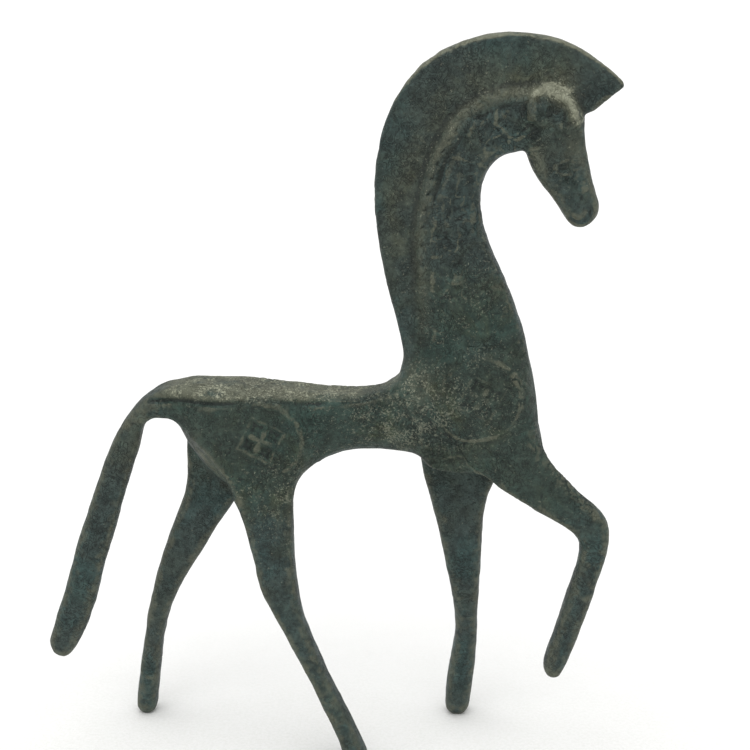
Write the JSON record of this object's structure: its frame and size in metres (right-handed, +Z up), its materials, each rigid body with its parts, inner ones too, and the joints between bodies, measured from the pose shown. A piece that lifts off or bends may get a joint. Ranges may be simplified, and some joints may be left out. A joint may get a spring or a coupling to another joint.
{
  "type": "bronze horse statuette",
  "caption": "Flat cast bronze horse in an early Greek manner, walking with one foreleg raised, with a tall crescent mane and a long hanging tail.",
  "frame": {"origin": "on the ground, under the middle of the figure's overall box", "axes": "+X where the horse looks, +Y its left side, +Z up"},
  "size_m": [0.1134, 0.0266, 0.145],
  "materials": {
    "bronze": "dark green-grey patina on cast bronze, softly pitted",
    "worn_bronze": "the same patina rubbed to olive brown on the raised work"
  },
  "bodies": {
    "root": {"trunk": "bronze", "neck": "bronze", "head": "bronze", "mane": "bronze", "tail": "bronze", "right_hind_leg": "bronze", "left_hind_leg": "bronze", "right_foreleg": "bronze", "left_foreleg": "bronze", "right_haunch_medallion": "worn_bronze", "left_haunch_medallion": "worn_bronze", "right_shoulder_medallion": "worn_bronze", "left_shoulder_medallion": "worn_bronze", "right_ear": "worn_bronze", "left_ear": "worn_bronze", "right_eye": "bronze", "left_eye": "bronze"}
  },
  "joints": []
}
